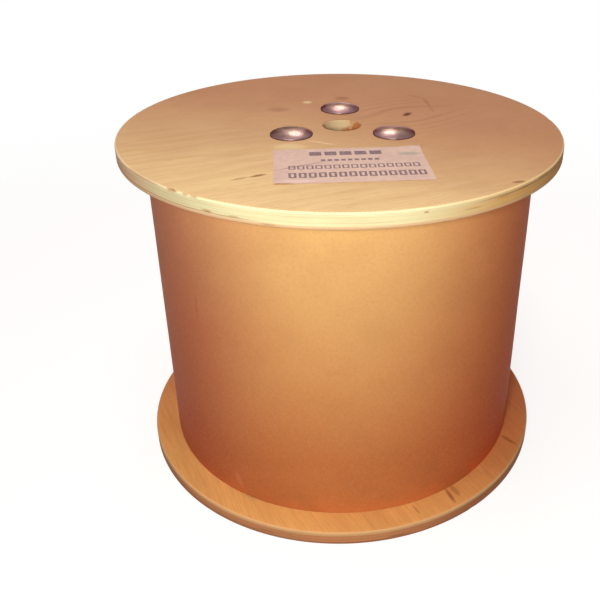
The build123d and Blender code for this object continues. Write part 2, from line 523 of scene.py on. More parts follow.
upper = turnedDisc("upperFlange", upperUnderside, -1)
easeArbor(upper, upperUnderside)
drill(upper, flange["boltHole"], upperUnderside - flange["overshoot"], topFace + flange["overshoot"])
for spot, angle in zip(boltSpots, flange["boltAngles"]):
    seat = startPiece(
        bpy.ops.mesh.primitive_cube_add, "cutter", size=flange["seat"], rotation=(0, 0, radians(angle)),
        location=(spot.x, spot.y, topFace - flange["seatDepth"] + flange["seat"] / 2))
    cutAway(upper, seat)
breakOut(upper, upperChips)
lower = turnedDisc("lowerFlange", 0, 1)
easeArbor(lower, 0)
drill(lower, flange["boltHole"], -flange["overshoot"], flange["thickness"] + flange["overshoot"])
drill(lower, flange["recess"], -flange["overshoot"], flange["recessDepth"])
breakOut(lower, lowerChips)
for disc in (upper, lower):
    cleanNormals(disc)
    smoothOver(disc, 32)
    applyModifier(disc, "WEIGHTED_NORMAL", keep_sharp=True)
print("flanges turned")


# Wrap: one sheet of board rolled round the cable, its outer end lapped over the inner one
wrap = {
    "middle": 0.1541, "thickness": 0.001, "low": 0.0123, "high": 0.2657, "rows": 44, "strip": 0.02,
    "innerEnd": 101.3, "turn": 354.1, "turnSteps": 354, "ramp": 5.9, "rampSteps": 8, "climb": 0.00105,
    "lap": 16.7, "lapSteps": 17, "unevenness": 0.0006, "unevenSize": 0.09, "spring": 0.0003,
    "kinkAngle": -28.9, "kinkUp": 0.0012, "kinkOut": 0.0004803, "kinkReach": 0.0025, "kinkSpread": 0.011,
}


def rollSheet(steps, degrees):  # spin counts clockwise as positive, and the sheet goes the other way
    bpy.ops.mesh.spin(steps=steps, angle=-radians(degrees), center=(0, 0, 0), axis=(0, 0, 1))


sheet = startPiece(
    bpy.ops.mesh.primitive_grid_add, "kraftWrap", x_subdivisions=1, y_subdivisions=wrap["rows"], size=1,
    scale=(wrap["strip"], wrap["high"] - wrap["low"], 1), rotation=(radians(90), 0, 0),
    location=(wrap["middle"], 0, (wrap["low"] + wrap["high"]) / 2))
choose(sheet, "VERT", lambda point: point.x > wrap["middle"])
bpy.ops.mesh.delete(type="VERT")
bpy.ops.mesh.select_all(action="SELECT")
bpy.ops.transform.translate(value=(wrap["strip"] / 2, 0, 0))
leaveEdit()
sheet.rotation_euler = (0, 0, radians(wrap["innerEnd"]))
takeOnly(sheet)
bpy.ops.object.transform_apply(location=True, rotation=True, scale=True)
bpy.ops.object.mode_set(mode="EDIT")
bpy.ops.mesh.select_all(action="SELECT")
rollSheet(wrap["turnSteps"], wrap["turn"])
for step in range(wrap["rampSteps"]):
    reach = wrap["middle"] + wrap["climb"] * step / wrap["rampSteps"]
    growth = 1 + wrap["climb"] / wrap["rampSteps"] / reach
    rollSheet(1, wrap["ramp"] / wrap["rampSteps"])
    bpy.ops.transform.resize(value=(growth, growth, 1), center_override=(0, 0, 0))
rollSheet(wrap["lapSteps"], wrap["lap"])
springOut = 1 + wrap["spring"] / wrap["middle"]
bpy.ops.transform.resize(value=(springOut, springOut, 1), center_override=(0, 0, 0))
leaveEdit()
kinkPlace = atAngle(wrap["kinkAngle"], wrap["middle"], wrap["low"])
choose(sheet, "VERT", lambda point: (point - kinkPlace).length < wrap["kinkReach"])
bpy.ops.transform.translate(
    value=atAngle(wrap["kinkAngle"], wrap["kinkOut"], wrap["kinkUp"]), use_proportional_edit=True,
    proportional_edit_falloff="SMOOTH", proportional_size=wrap["kinkSpread"])
leaveEdit()
clouds = bpy.data.textures.new("boardUnevenness", "CLOUDS")
clouds.noise_scale = wrap["unevenSize"]
applyModifier(sheet, "DISPLACE", texture=clouds, texture_coords="LOCAL", mid_level=0.5,
              strength=wrap["unevenness"])
applyModifier(sheet, "SOLIDIFY", thickness=wrap["thickness"], offset=0)
cleanNormals(sheet)
smoothOver(sheet, 40)
print("wrap rolled")


# Tie bolt: a smooth domed head on a square neck, threaded at its lower end
bolt = {
    "rim": 0.0013, "rimEase": 0.0006, "domeRadius": 0.04414, "domeTop": 0.2825, "domeSteps": 96,
    "neck": 0.008, "neckLength": 0.005, "neckEase": 0.0008, "overlap": 0.0005,
    "shank": 0.004, "shankSteps": 48, "shankEase": 0.0007, "coreEase": 0.0005, "coreRise": 0.002,
    "end": 0.0008, "threadTop": 0.026, "threadPitch": 0.00125, "threadDepth": 0.00055,
    "threadStart": 0.0009, "threadTurns": 19, "threadSteps": 32, "threadWidth": 0.55,
}
rimTop = topFace + bolt["rim"]
head = startPiece(
    bpy.ops.mesh.primitive_uv_sphere_add, "tieBolt", segments=bolt["domeSteps"], ring_count=bolt["domeSteps"],
    radius=bolt["domeRadius"], location=(0, 0, bolt["domeTop"] - bolt["domeRadius"]))
choose(head, "VERT", lambda point: True)
bpy.ops.mesh.bisect(plane_co=(0, 0, rimTop), plane_no=(0, 0, 1), clear_inner=True)
bpy.ops.mesh.extrude_region_move(TRANSFORM_OT_translate={"value": (0, 0, -bolt["rim"])})
bpy.ops.mesh.edge_face_add()
leaveEdit()
choose(head, "EDGE", lambda point: abs(point.z - rimTop) < 0.00002)
bpy.ops.mesh.bevel(offset=bolt["rimEase"], segments=4, profile=0.5, affect="EDGES")
leaveEdit()
neck = startPiece(
    bpy.ops.mesh.primitive_cube_add, "neck", size=1, scale=(bolt["neck"], bolt["neck"], bolt["neckLength"]),
    location=(0, 0, topFace - bolt["neckLength"] / 2))
choose(neck, "EDGE", lambda point: point.z < topFace - bolt["overlap"])
bpy.ops.mesh.bevel(offset=bolt["neckEase"], segments=3, affect="EDGES")
leaveEdit()
shankTop = topFace - bolt["neckLength"] + bolt["overlap"]
shank = startPiece(
    bpy.ops.mesh.primitive_cylinder_add, "shank", vertices=bolt["shankSteps"], radius=bolt["shank"],
    depth=shankTop - bolt["threadTop"], location=(0, 0, (shankTop + bolt["threadTop"]) / 2))
choose(shank, "EDGE", lambda point: point.z < bolt["threadTop"] + fine)
bpy.ops.mesh.bevel(offset=bolt["shankEase"], segments=2, affect="EDGES")
leaveEdit()
coreTop = bolt["threadTop"] + bolt["coreRise"]
core = startPiece(
    bpy.ops.mesh.primitive_cylinder_add, "core", vertices=bolt["shankSteps"],
    radius=bolt["shank"] - bolt["threadDepth"], depth=coreTop - bolt["end"],
    location=(0, 0, (coreTop + bolt["end"]) / 2))
choose(core, "EDGE", lambda point: point.z < bolt["end"] + fine)
bpy.ops.mesh.bevel(offset=bolt["coreEase"], segments=2, affect="EDGES")
leaveEdit()
ridgeStart = (bolt["shank"] - bolt["threadDepth"] * 0.95, 0, bolt["end"] + bolt["threadStart"])
ridge = startPiece(  # a small triangle that climbs round the core
    bpy.ops.mesh.primitive_circle_add, "ridge", vertices=3, fill_type="NGON",
    radius=bolt["threadPitch"] * bolt["threadWidth"], rotation=(radians(90), 0, 0), location=ridgeStart)
choose(ridge, "VERT", lambda point: True)
bpy.ops.transform.rotate(value=radians(90), orient_axis="Y", center_override=ridgeStart)
leaveEdit()
applyModifier(
    ridge, "SCREW", axis="Z", angle=radians(360), screw_offset=bolt["threadPitch"],
    iterations=bolt["threadTurns"], steps=bolt["threadSteps"], render_steps=bolt["threadSteps"],
    use_normal_calculate=True)
tieBolt = joinPieces([head, neck, shank, core, ridge])
for point in tieBolt.data.vertices:  # nothing stands proud of the shank or below its end
    if point.co.z < coreTop + bolt["threadPitch"] and fromAxis(point.co) > bolt["shank"]:
        point.co.x *= bolt["shank"] / fromAxis(point.co)
        point.co.y *= bolt["shank"] / fromAxis(point.co)
    point.co.z = max(point.co.z, bolt["end"])
smoothOver(tieBolt, 30)

# Washer: a thin ring with a rounded edge
washer = {"outer": 0.013, "bore": 0.0044, "top": 0.0064, "thickness": 0.0016, "ease": 0.0003, "steps": 96}
ring = startPiece(
    bpy.ops.mesh.primitive_circle_add, "washer", vertices=washer["steps"], radius=washer["outer"],
    fill_type="NGON", location=(0, 0, washer["top"]))
choose(ring, "FACE", lambda face: True)
bpy.ops.mesh.inset(thickness=washer["outer"] - washer["bore"], depth=0)
bpy.ops.mesh.delete(type="FACE")
bpy.ops.mesh.select_all(action="SELECT")
bpy.ops.mesh.extrude_region_move(TRANSFORM_OT_translate={"value": (0, 0, -washer["thickness"])})
leaveEdit()
cleanNormals(ring)
choose(ring, "EDGE", lambda point: fromAxis(point) > washer["outer"] - slack)
bpy.ops.mesh.bevel(offset=washer["ease"], segments=3, affect="EDGES")
leaveEdit()
smoothOver(ring, 40)

# Nut: a thin hexagon with turned corners
nut = {
    "flats": 0.013, "height": 0.004, "low": 0.0008, "bore": 0.00415, "turnedFlat": 0.006256,
    "coneRadius": 0.02, "coneRise": 0.00352, "coneSteps": 96,
    "firstAngle": -60, "turn": 17,  # each nut stops at its own angle
}
nutMiddle = (0, 0, nut["low"] + nut["height"] / 2)
hexagon = startPiece(
    bpy.ops.mesh.primitive_cylinder_add, "nut", vertices=6, radius=nut["flats"] / 2 / cos(radians(30)),
    depth=nut["height"], location=nutMiddle)
lathe = startPiece(  # what stays after the corners are turned off below
    bpy.ops.mesh.primitive_cylinder_add, "lathe", vertices=nut["coneSteps"], radius=nut["coneRadius"],
    depth=nut["height"], location=nutMiddle)
choose(lathe, "FACE", lambda face: face.normal.z < -flatNormal)
bpy.ops.mesh.inset(thickness=nut["coneRadius"] - nut["turnedFlat"], depth=0)
leaveEdit()
choose(lathe, "VERT", lambda point: point.z < nut["low"] + fine and fromAxis(point) > nut["flats"])
bpy.ops.transform.translate(value=(0, 0, nut["coneRise"]))
leaveEdit()
applyModifier(hexagon, "BOOLEAN", operation="INTERSECT", solver="MANIFOLD", object=lathe)
bpy.data.objects.remove(lathe)
bore = startPiece(
    bpy.ops.mesh.primitive_cylinder_add, "bore", vertices=bolt["shankSteps"], radius=nut["bore"],
    depth=2.5 * nut["height"], location=nutMiddle)
cutAway(hexagon, bore)
cleanNormals(hexagon)
smoothOver(hexagon, 25)
print("bolt, washer and nut made")


# Label: thin paper stuck on the upper flange
label = {
    "size": (0.108, 0.068), "place": (0.0065, -0.09094), "turn": 4.6, "face": 0.27803, "paper": 0.00012,
    "unevenness": 0.00025, "rippleSize": 0.022,
    "corner": (0.0535, 0.0335), "cornerReach": 0.003, "lift": 0.0007, "liftReach": 0.016,
}
paper = startPiece(
    bpy.ops.mesh.primitive_grid_add, "paperLabel", x_subdivisions=72, y_subdivisions=46, size=1,
    scale=(*label["size"], 1), rotation=(0, 0, radians(label["turn"])),
    location=(*label["place"], label["face"]))
ripples = bpy.data.textures.new("paperRipples", "CLOUDS")
ripples.noise_scale = label["rippleSize"]
applyModifier(paper, "DISPLACE", texture=ripples, texture_coords="LOCAL", mid_level=0.0,
              direction="Z", strength=label["unevenness"])
turn = radians(label["turn"])
for across, up in ((1, 1), (-1, -1)):  # two corners have come away a little
    x, y = label["corner"][0] * across, label["corner"][1] * up
    corner = Vector((label["place"][0] + x * cos(turn) - y * sin(turn),
                     label["place"][1] + x * sin(turn) + y * cos(turn), label["face"]))
    choose(paper, "VERT", lambda point: (point - corner).length < label["cornerReach"])
    bpy.ops.transform.translate(
        value=(0, 0, label["lift"]), use_proportional_edit=True, proportional_edit_falloff="SMOOTH",
        proportional_size=label["liftReach"])
    leaveEdit()
applyModifier(paper, "SOLIDIFY", thickness=label["paper"], offset=1)
smoothOver(paper, 40)
print("label cut")


# Plywood face: veneer, painted lighter and yellower at the front of the drum and browner at the back and
# towards the right, as painted light and shade
veneer = {
    "front": colour(247, 215, 161), "back": colour(204, 147, 112), "bandDark": colour(207, 157, 108),
    "poreDark": colour(150, 100, 66), "dirt": colour(150, 86, 54), "knotDark": colour(104, 46, 24),
    "pale": colour(254, 232, 184), "knot": (0.0552, 0.031, 0), "knotReach": 0.03, "grainTurn": 24,
    "paintedShadeRight": 0.12, "bands": 0.26,
}
# Marks seen on the upper face: centre, half size, turn, how strong, how ragged, dark or pale
faceMarks = [
    ((0.0552, 0.0310), (0.0074, 0.0036), 62, 0.97, 0.5, "knotDark"),
    ((0.0672, 0.0876), (0.0110, 0.0024), -41, 0.30, 0.5, "dirt"),
    ((0.0755, 0.0676), (0.0160, 0.0024), -83, 0.34, 0.5, "dirt"),
    ((0.0774, 0.0456), (0.0075, 0.0022), -86, 0.24, 0.5, "dirt"),
    ((-0.0543, 0.0450), (0.0110, 0.0090), 0, 0.30, 0.7, "dirt"),
    ((0.0005, 0.0808), (0.0080, 0.0070), 0, 0.45, 0.8, "dirt"),
    ((-0.0304, 0.0674), (0.0050, 0.0050), 0, 0.60, 0.6, "pale"),
    ((-0.0677, -0.1180), (0.0075, 0.0016), 29, 0.55, 0.35, "dirt"),
    ((-0.0563, -0.1124), (0.0070, 0.0021), 29, 0.85, 0.3, "dirt"),
    ((-0.0145, -0.0441), (0.0150, 0.0013), -26, 0.55, 0.4, "pale"),
    ((-0.0390, -0.0530), (0.0150, 0.0075), 0, 0.40, 0.6, "pale"),
    ((0.1173, -0.1246), (0.0060, 0.0024), 12, 0.75, 0.4, "dirt"),
]


def veneerMaterial(name, values, marks, height):
    material, tree, shader, place = newMaterial(name)
    turn = radians(values["grainTurn"])
    knotX, knotY, knotZ = values["knot"]
    knotAlong = (knotX * cos(turn) + knotY * sin(turn), knotY * cos(turn) - knotX * sin(turn), knotZ)
    grain = useGroup(tree, woodGrain, Vector=aboutZ(tree, place, turn, back=True), Knot=knotAlong,
                     Knot_Reach=values["knotReach"], Offset=(0, 0, height))
    wear = useGroup(tree, handling, Vector=place, Size=11)
    uneven = calc(tree, "SUBTRACT", noise(tree, place, 6, 3), 0.5)
    # painted shade: the tone drifts from the lit front to the shaded back and towards the right, with some
    # random unevenness
    unevenToneAndShade = calc(tree, "MULTIPLY_ADD", uneven, 0.12, axis(tree, place, "Y"))
    paintedShadeSideways = spread(tree, axis(tree, place, "X"), -0.1, 0.16, -0.03, values["paintedShadeRight"], soft=False)
    unevenToneAndShade = calc(tree, "ADD", unevenToneAndShade, paintedShadeSideways)
    tone = mixColour(tree, spread(tree, unevenToneAndShade, -0.17, 0.1), values["front"], values["back"])
    bands = calc(tree, "MULTIPLY", grain["Bands"], values["bands"])
    tone = mixColour(tree, bands, tone, values["bandDark"])
    tone = mixColour(tree, spread(tree, grain["Fibres"], 0.3, 0.75, 0, 0.3), tone, values["bandDark"])
    tone = mixColour(tree, calc(tree, "MULTIPLY", grain["Pores"], 0.35), tone, values["poreDark"])
    toKnot = vectorCalc(tree, "DISTANCE", scaled(tree, place, 1, 1, 0), values["knot"])
    nearKnot = calc(tree, "SUBTRACT", 1, spread(tree, toKnot, 0.01, 0.07))
    rings = calc(tree, "MULTIPLY", spread(tree, grain["Rings"], 0.6, 0.95), nearKnot)
    tone = mixColour(tree, calc(tree, "MULTIPLY", rings, 0.26), tone, values["poreDark"])
    tone = mixColour(tree, calc(tree, "MULTIPLY", wear["Patches"], 0.1), tone, values["dirt"])
    dents = calc(tree, "MULTIPLY", grain["Pores"], -0.6)
    for centre, reach, turn, strength, ragged, which in marks:
        mask = markAt(tree, place, centre, reach, turn, strength, ragged)
        tone = mixColour(tree, mask, tone, values[which])
        if which != "pale":
            dents = calc(tree, "SUBTRACT", dents, mask)
    tone = mixColour(tree, calc(tree, "MULTIPLY", wear["Scratches"], 0.08), tone, values["pale"])
    shine = spread(tree, grain["Fibres"], 0.3, 0.7, 0.74, 0.88)
    height = calc(tree, "ADD", calc(tree, "MULTIPLY", grain["Fibres"], 0.7), dents)
    finishMaterial(tree, shader, tone, shine, height, 0.0004, 0.45)
    shader.inputs["Specular IOR Level"].default_value = 0.16
    return material


# Ply edge: layers stacked by height, each second one cut across its fibres
plyEdge = {
    "cream": colour(255, 250, 204), "across": colour(250, 226, 168), "lowerPly": colour(250, 204, 160),
    # the eased tone is a painted highlight along the rim's eased top edge
    "glue": colour(176, 112, 72), "dirt": colour(196, 142, 104), "eased": colour(255, 246, 204),
    # the left and right tones are painted shade towards the rim's sides
    "left": colour(255, 204, 174), "right": colour(255, 193, 115),
    # the bore tones are the hole's wall, pale where lit on the left and brown with painted shade low down on
    # the right
    "boreLit": colour(255, 226, 178), "boreBrownShaded": colour(226, 144, 86),
    "layer": 0.001715, "lowestTop": 0.003, "lowSeam": 0.0034, "splitHeight": 0.0092, "easedFrom": 0.0082,
    "split": 0.62, "easedAmount": 0.35,
}
# Marks on the rims, rolled out: angle, height, half length, half height, strength
upperRimMarks = [
    (-29.0, 0.2702, 0.0050, 0.0011, 0.55), (-22.5, 0.2699, 0.0050, 0.0009, 0.45),
    (-14.9, 0.2678, 0.0060, 0.0008, 0.40), (17.1, 0.2750, 0.0018, 0.0009, 0.60),
    (28.1, 0.2719, 0.0085, 0.0005, 0.45), (36.5, 0.2742, 0.0070, 0.0008, 0.35),
    (44.0, 0.2752, 0.0090, 0.0009, 0.45), (52.0, 0.2762, 0.0100, 0.0009, 0.40),
    (-38.6, 0.2775, 0.0060, 0.0014, 0.75), (-34.6, 0.2777, 0.0035, 0.0012, 0.60),
    (-32.2, 0.2777, 0.0042, 0.0012, 0.55), (139.0, 0.2712, 0.0080, 0.0010, 0.50),
    (-101.0, 0.2738, 0.0060, 0.0009, 0.50), (-50.0, 0.2772, 0.0330, 0.0008, 0.55),
]
lowerRimMarks = [
    (-20.0, 0.0052, 0.0090, 0.0008, 0.45), (14.0, 0.0036, 0.0110, 0.0008, 0.50),
    (40.0, 0.0071, 0.0070, 0.0008, 0.45), (-50.0, 0.0044, 0.0070, 0.0009, 0.45),
    (104.0, 0.0060, 0.0080, 0.0010, 0.50), (-150.0, 0.0070, 0.0060, 0.0009, 0.50),
]


def between(tree, angle, low, high, newLow=0, newHigh=1):  # spread over angles given in degrees
    return spread(tree, angle, radians(low), radians(high), newLow, newHigh)


def lineAt(tree, up, height, outer, inner):  # a soft line all round, at one height
    return spread(tree, calc(tree, "ABSOLUTE", calc(tree, "SUBTRACT", up, height)), outer, inner)


def plyMaterial(name, values, underside, marks, brown):
    material, tree, shader, place = newMaterial(name)
    rolled = useGroup(tree, rollOut, Vector=place, Radius=flange["radius"])
    up = calc(tree, "SUBTRACT", axis(tree, rolled["Flat"], "Y"), underside)
    wander = noise(tree, scaled(tree, rolled["Flat"], 26, 60, 0), 1, 2)
    up = calc(tree, "MULTIPLY_ADD", calc(tree, "SUBTRACT", wander, 0.5), 0.0012, up)
    count = calc(tree, "DIVIDE", up, values["layer"])
    odd = spread(tree, calc(tree, "PINGPONG", count, 1), 0.42, 0.58)
    inLayer = calc(tree, "FRACT", calc(tree, "ADD", count, 0.5))
    seam = spread(tree, calc(tree, "ABSOLUTE", calc(tree, "SUBTRACT", inLayer, 0.5)), 0.11, 0.03)
    streaks = noise(tree, scaled(tree, rolled["Flat"], 60, 1500, 0), 1, 4, 0.6)
    pits = noise(tree, scaled(tree, rolled["Flat"], 900, 900, 0), 1, 2, 0.6)
    patchy = noise(tree, scaled(tree, rolled["Flat"], 20, 90, 0), 1, 3)
    angle = rolled["Angle"]
    # painted shade: the rim is tinted towards the left and right tones round its sides, less so at the back
    atBack = between(tree, calc(tree, "ABSOLUTE", angle), 75, 130, 1, 0.35)
    paintedShadeLeft = calc(tree, "MULTIPLY", between(tree, angle, -34, -62), atBack)
    paintedShadeRight = calc(tree, "MULTIPLY", between(tree, angle, 8, 42), atBack)
    tone = mixColour(tree, paintedShadeLeft, values["cream"], values["left"])
    tone = mixColour(tree, paintedShadeRight, tone, values["right"])
    tone = mixColour(tree, calc(tree, "MULTIPLY", odd, 0.3), tone, values["across"])
    tone = mixColour(tree, spread(tree, streaks, 0.4, 0.75, 0, 0.3), tone, values["across"])
    # painted highlight: the top of the rim, along its eased edge, is painted lighter
    eased = spread(tree, up, values["easedFrom"], values["easedFrom"] + 0.0012, 0, values["easedAmount"])
    tone = mixColour(tree, eased, tone, values["eased"])
    lowest = spread(tree, up, values["lowestTop"], values["lowestTop"] - 0.0004)
    tone = mixColour(tree, calc(tree, "MULTIPLY", lowest, 0.85), tone, values["lowerPly"])
    glueShown = calc(tree, "MULTIPLY", seam, spread(tree, patchy, 0.42, 0.7, 0.03, 0.32))
    tone = mixColour(tree, glueShown, tone, values["glue"])
    # the seam above the lowest layer shows all along the left, and a split near the top along the right
    left = calc(tree, "MULTIPLY", between(tree, angle, -14, -24), between(tree, angle, -75, -60))
    lowSeam = calc(tree, "MULTIPLY", left, lineAt(tree, up, values["lowSeam"], 0.0006, 0.0002))
    tone = mixColour(tree, calc(tree, "MULTIPLY", lowSeam, 0.55), tone, values["glue"])
    right = calc(tree, "MULTIPLY", between(tree, angle, 26, 38), between(tree, angle, 96, 70))
    split = calc(tree, "MULTIPLY", right, lineAt(tree, up, values["splitHeight"], 0.0009, 0.0002))
    tone = mixColour(tree, calc(tree, "MULTIPLY", split, values["split"]), tone, values["glue"])
    pores = spread(tree, pits, 0.6, 0.72)
    tone = mixColour(tree, calc(tree, "MULTIPLY", pores, 0.08 + brown * 0.5), tone, values["glue"])
    tone = mixColour(tree, spread(tree, patchy, 0.45, 0.75, 0, 0.1 + brown), tone, values["dirt"])
    # inside the arbor hole the wall is pale on the left and darker brown low down on the right and deeper in,
    # partly the ply's own brown and partly painted shade
    stain = calc(tree, "MULTIPLY_ADD", noise(tree, place, 160, 3), 0.02, axis(tree, place, "X"))
    depth = calc(tree, "SUBTRACT", flange["thickness"], up)
    stain = calc(tree, "MULTIPLY_ADD", depth, 0.9, stain)
    boreToneAndShade = mixColour(tree, spread(tree, stain, 0.0165, 0.0235), values["boreLit"], values["boreBrownShaded"])
    boreToneAndShade = mixColour(tree, spread(tree, streaks, 0.4, 0.75, 0, 0.3), boreToneAndShade, values["dirt"])
    tone = mixColour(tree, spread(tree, rolled["Out"], 0.025, 0.018), tone, boreToneAndShade)
    rough = calc(tree, "MULTIPLY", calc(tree, "ADD", streaks, pores), 0.25)
    relief = calc(tree, "MULTIPLY_ADD", seam, -0.3, rough)
    for fromFront, height, length, thick, strength in marks:
        centre = (radians(fromFront) * flange["radius"], height)
        mask = markAt(tree, rolled["Flat"], centre, (length, thick), 0, strength, 0.5)
        tone = mixColour(tree, mask, tone, values["glue"])
        relief = calc(tree, "SUBTRACT", relief, mask)
    finishMaterial(tree, shader, tone, 0.72, relief, 0.0004, 0.35)
    shader.inputs["Specular IOR Level"].default_value = 0.25
    return material


upperFace = veneerMaterial("upperVeneer", veneer, faceMarks, 0)
upperEdge = plyMaterial("upperPlyEdge", plyEdge, upperUnderside, upperRimMarks, 0)
# the lower face carries the same painted light at the front and painted shade at the back and right
lowerVeneer = dict(
    veneer, front=colour(255, 196, 120), back=colour(248, 147, 92), bandDark=colour(206, 126, 72),
    poreDark=colour(128, 76, 44), dirt=colour(156, 74, 40), pale=colour(244, 178, 124),
    knot=(-0.09, 0.12, 0), grainTurn=-62, paintedShadeRight=0.07, bands=0.18)
lowerMarks = [
    ((0.0860, -0.1376), (0.0105, 0.0021), -69, 0.65, 0.3, "dirt"),
    ((0.0905, -0.1320), (0.0085, 0.0032), -60, 0.40, 0.4, "dirt"),
    ((0.1470, -0.0723), (0.0100, 0.0021), -49, 0.55, 0.4, "dirt"),
    ((0.1159, -0.1085), (0.0060, 0.0032), -67, 0.45, 0.5, "pale"),
    ((0.0573, -0.1521), (0.0060, 0.0013), -61, 0.40, 0.4, "dirt"),
]
lowerFace = veneerMaterial("lowerVeneer", lowerVeneer, lowerMarks, 0.4)
# on the lower rim the eased tone is a strong painted highlight, and the left and right tones are painted
# shade
lowerEdgeTones = dict(
    plyEdge, cream=colour(240, 165, 114), across=colour(210, 138, 92), left=colour(206, 130, 92),
    right=colour(206, 134, 92), lowerPly=colour(190, 122, 86), glue=colour(118, 68, 44),
    eased=colour(255, 206, 148), split=0.2, easedAmount=0.8)
lowerEdge = plyMaterial("lowerPlyEdge", lowerEdgeTones, 0, lowerRimMarks, 0.2)
for disc, node, finishes in ((upper, "upper_flange", (upperFace, upperEdge)),
                             (lower, "lower_flange", (lowerFace, lowerEdge))):
    handOver(disc, node, "plywood", *finishes)
    paintRim(disc)
print("plywood finished")


# Kraft board: smooth brown board, with a few creases and scuffs, and painted shade darkening it towards the
# foot
kraft = {
    # the top and foot tones are painted shade, lighter at the top and darker towards the foot
    "top": colour(252, 200, 132), "shadedFoot": colour(224, 130, 73), "mottleDark": colour(206, 134, 80),
    # the left and right tints are painted shade round the board's sides
    "leftShadeTint": colour(232, 186, 220), "rightShadeTint": colour(255, 184, 184),
    "fibreLight": colour(255, 214, 152), "scuffAndFootShade": colour(176, 108, 66), "crease": colour(170, 104, 66),
    "rubbed": colour(240, 152, 112),
}
# Creases, rolled out: angle, height, half length, half width, turn, strength, painted crease shade or rubbed
# pale
creases = [
    (-43.8, 0.1762, 0.0130, 0.0012, 88, 0.35, "crease"), (-32.8, 0.0260, 0.0095, 0.0034, -65, 0.40, "rubbed"),
    (-28.9, 0.0130, 0.0060, 0.0015, 10, 0.45, "crease"), (71.0, 0.1200, 0.0300, 0.0012, 84, 0.25, "crease"),
    (140.0, 0.0900, 0.0240, 0.0014, 62, 0.35, "crease"), (162.0, 0.0300, 0.0140, 0.0040, -50, 0.35, "rubbed"),
    (-128.0, 0.2000, 0.0200, 0.0012, -70, 0.30, "crease"),
    (-96.0, 0.0400, 0.0220, 0.0013, 15, 0.30, "crease"),
]
material, tree, shader, place = newMaterial("kraftBoard")
rolled = useGroup(tree, rollOut, Vector=place, Radius=wrap["middle"])
board = useGroup(tree, pulp, Vector=rolled["Flat"], Coarse=420)
wear = useGroup(tree, handling, Vector=rolled["Flat"], Size=16)
up = axis(tree, rolled["Flat"], "Y")
broad = noise(tree, rolled["Flat"], 9, 3, 0.5)
uneven = calc(tree, "SUBTRACT", broad, 0.5)
level = calc(tree, "MULTIPLY_ADD", uneven, 0.07, up)
# painted shade: lighter at the top, darker towards the foot
tone = mixColour(tree, spread(tree, level, 0.25, 0.06, soft=False), kraft["top"], kraft["shadedFoot"])
darkerStep = calc(tree, "MULTIPLY_ADD", uneven, 0.04, up)  # a faint darker step near the foot
tone = mixColour(tree, spread(tree, darkerStep, 0.0695, 0.0665, 0, 0.13), tone, kraft["shadedFoot"])
# painted shade: the board is redder round the sides, and less so at the back
around = calc(tree, "MULTIPLY_ADD", uneven, 0.3, rolled["Angle"])
atBack = between(tree, calc(tree, "ABSOLUTE", around), 72, 112, 1, 0.35)
paintedShadeRight = calc(tree, "MULTIPLY", between(tree, around, 3, 66), atBack)
paintedShadeLeft = calc(tree, "MULTIPLY", between(tree, around, -8, -56), atBack)
tone = mixColour(tree, paintedShadeRight, tone, kraft["rightShadeTint"], "MULTIPLY")
tone = mixColour(tree, paintedShadeLeft, tone, kraft["leftShadeTint"], "MULTIPLY")
tone = mixColour(tree, spread(tree, board["Mottle"], 0.42, 0.68, 0, 0.14), tone, kraft["mottleDark"])
tone = mixColour(tree, calc(tree, "MULTIPLY", board["Fibres"], 0.14), tone, kraft["fibreLight"])
tone = mixColour(tree, calc(tree, "MULTIPLY", wear["Patches"], 0.10), tone, kraft["scuffAndFootShade"])
# painted shade along the foot, in patches like the scuffs
rubbed = calc(tree, "MULTIPLY", spread(tree, level, 0.05, 0.012), wear["Patches"])
tone = mixColour(tree, calc(tree, "MULTIPLY", rubbed, 0.4), tone, kraft["scuffAndFootShade"])
relief = calc(tree, "MULTIPLY_ADD", board["Height"], 0.22, calc(tree, "MULTIPLY", broad, 0.8))
for angle, height, length, wide, turn, strength, which in creases:
    centre = (radians(angle) * wrap["middle"], height)
    mask = markAt(tree, rolled["Flat"], centre, (length, wide), turn, strength, 0.15)
    # the dark crease marks are painted shade in the folds
    tone = mixColour(tree, mask, tone, kraft[which])
    relief = calc(tree, "SUBTRACT", relief, mask)
shine = spread(tree, board["Mottle"], 0.3, 0.7, 0.56, 0.7)
finishMaterial(tree, shader, tone, shine, relief, 0.0006, 0.3)
shader.inputs["Specular IOR Level"].default_value = 0.12
handOver(sheet, "wrap", "kraft_board", material)

# Zinc-plated steel: dark and slightly purple, with faint clouding and scratches
steel = {
    "body": colour(152, 124, 112), "cloud": colour(166, 139, 125), "dull": colour(130, 104, 100),
    # the rim tone is painted shade at the heads' rims
    "rim": colour(125, 98, 97), "grazing": (0.26, 0.2, 0.21, 1),
}
material, tree, shader, place = newMaterial("zincSteel")
wear = useGroup(tree, handling, Vector=place, Size=160)
clouding = noise(tree, place, 190, 3, 0.5)
tone = mixColour(tree, spread(tree, clouding, 0.35, 0.7), steel["body"], steel["cloud"])
tone = mixColour(tree, calc(tree, "MULTIPLY", wear["Patches"], 0.35), tone, steel["dull"])
toAxis = [vectorCalc(tree, "DISTANCE", scaled(tree, place, 1, 1, 0), spot) for spot in boltSpots]
toAxis = calc(tree, "MINIMUM", calc(tree, "MINIMUM", toAxis[0], toAxis[1]), toAxis[2])
crownOverRimShade = spread(tree, toAxis, 0.0155, 0.006)  # painted shade: the heads are painted darker at the rim than on the crown
tone = mixColour(tree, crownOverRimShade, steel["rim"], tone)
shine = calc(tree, "MULTIPLY_ADD", wear["Patches"], 0.1, spread(tree, clouding, 0.3, 0.7, 0.26, 0.32))
relief = calc(tree, "MULTIPLY_ADD", wear["Scratches"], -0.6, calc(tree, "MULTIPLY", clouding, 0.2))
finishMaterial(tree, shader, tone, shine, relief, 0.00004, 0.25)
shader.inputs["Metallic"].default_value = 1
